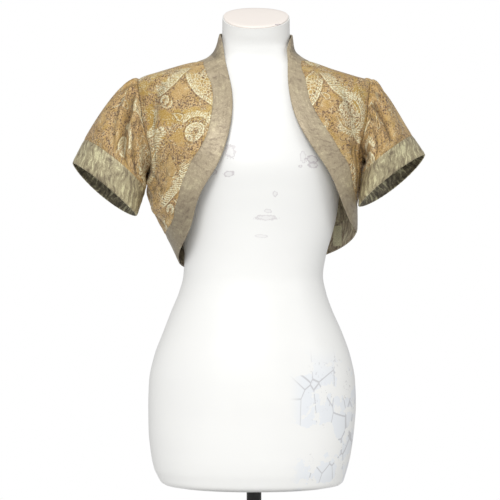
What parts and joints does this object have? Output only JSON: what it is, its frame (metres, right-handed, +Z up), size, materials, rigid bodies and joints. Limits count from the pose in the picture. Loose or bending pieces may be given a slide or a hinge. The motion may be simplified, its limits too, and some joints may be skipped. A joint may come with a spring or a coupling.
{
  "type": "bolero jacket on dress form",
  "caption": "Short-sleeved open-front bolero jacket in gold paisley brocade with olive taffeta bands and cuffs, worn on a limbless dress form with a round stand.",
  "frame": {"origin": "middle of the base plate's flat underside", "axes": "+Z up along the pole, the jacket's open front faces -Y, +X is the viewer's right seen from the front"},
  "size_m": [0.6034, 0.3, 0.9728],
  "materials": {
    "form_paint": "satin white paint on a fibreglass torso",
    "cap_paint": "matt pinkish white neck plate",
    "black_steel": "satin black",
    "gold_brocade": "gold and copper paisley brocade with pale metallic threads",
    "olive_taffeta": "crushed olive taffeta with a soft sheen"
  },
  "bodies": {
    "root": {"dress_form": "form_paint", "neck_cap": "cap_paint", "pole": "black_steel", "base_plate": "black_steel", "back_panel": "gold_brocade", "front_left": "gold_brocade", "front_right": "gold_brocade", "sleeve_left": "gold_brocade", "sleeve_right": "gold_brocade", "cuff_left": "olive_taffeta", "cuff_right": "olive_taffeta", "neck_band": "olive_taffeta", "front_band_left": "olive_taffeta", "front_band_right": "olive_taffeta", "hem_band_back": "olive_taffeta"}
  },
  "joints": []
}
